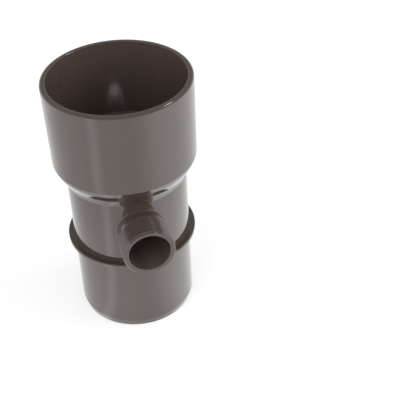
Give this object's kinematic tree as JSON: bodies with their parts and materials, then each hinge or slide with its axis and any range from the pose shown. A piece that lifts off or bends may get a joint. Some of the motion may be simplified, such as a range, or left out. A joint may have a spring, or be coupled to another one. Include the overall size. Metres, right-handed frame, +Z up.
{
  "type": "rainwater diverter",
  "caption": "Round downpipe rainwater diverter: upper socket, shoulder, tube with a threaded hose outlet, seating collar and lower spigot, with a catching trough inside.",
  "frame": {"origin": "on the pipe's axis, level with the underside of the collar, which rests on the end of the lower pipe", "axes": "+Z up the pipe, towards the upper socket; the hose outlet points along -Y"},
  "size_m": [0.0744, 0.0861, 0.1383],
  "materials": {
    "body": "glossy chocolate-brown rigid plastic, as moulded"
  },
  "bodies": {
    "root": {"diverter_body": "body"}
  },
  "joints": []
}
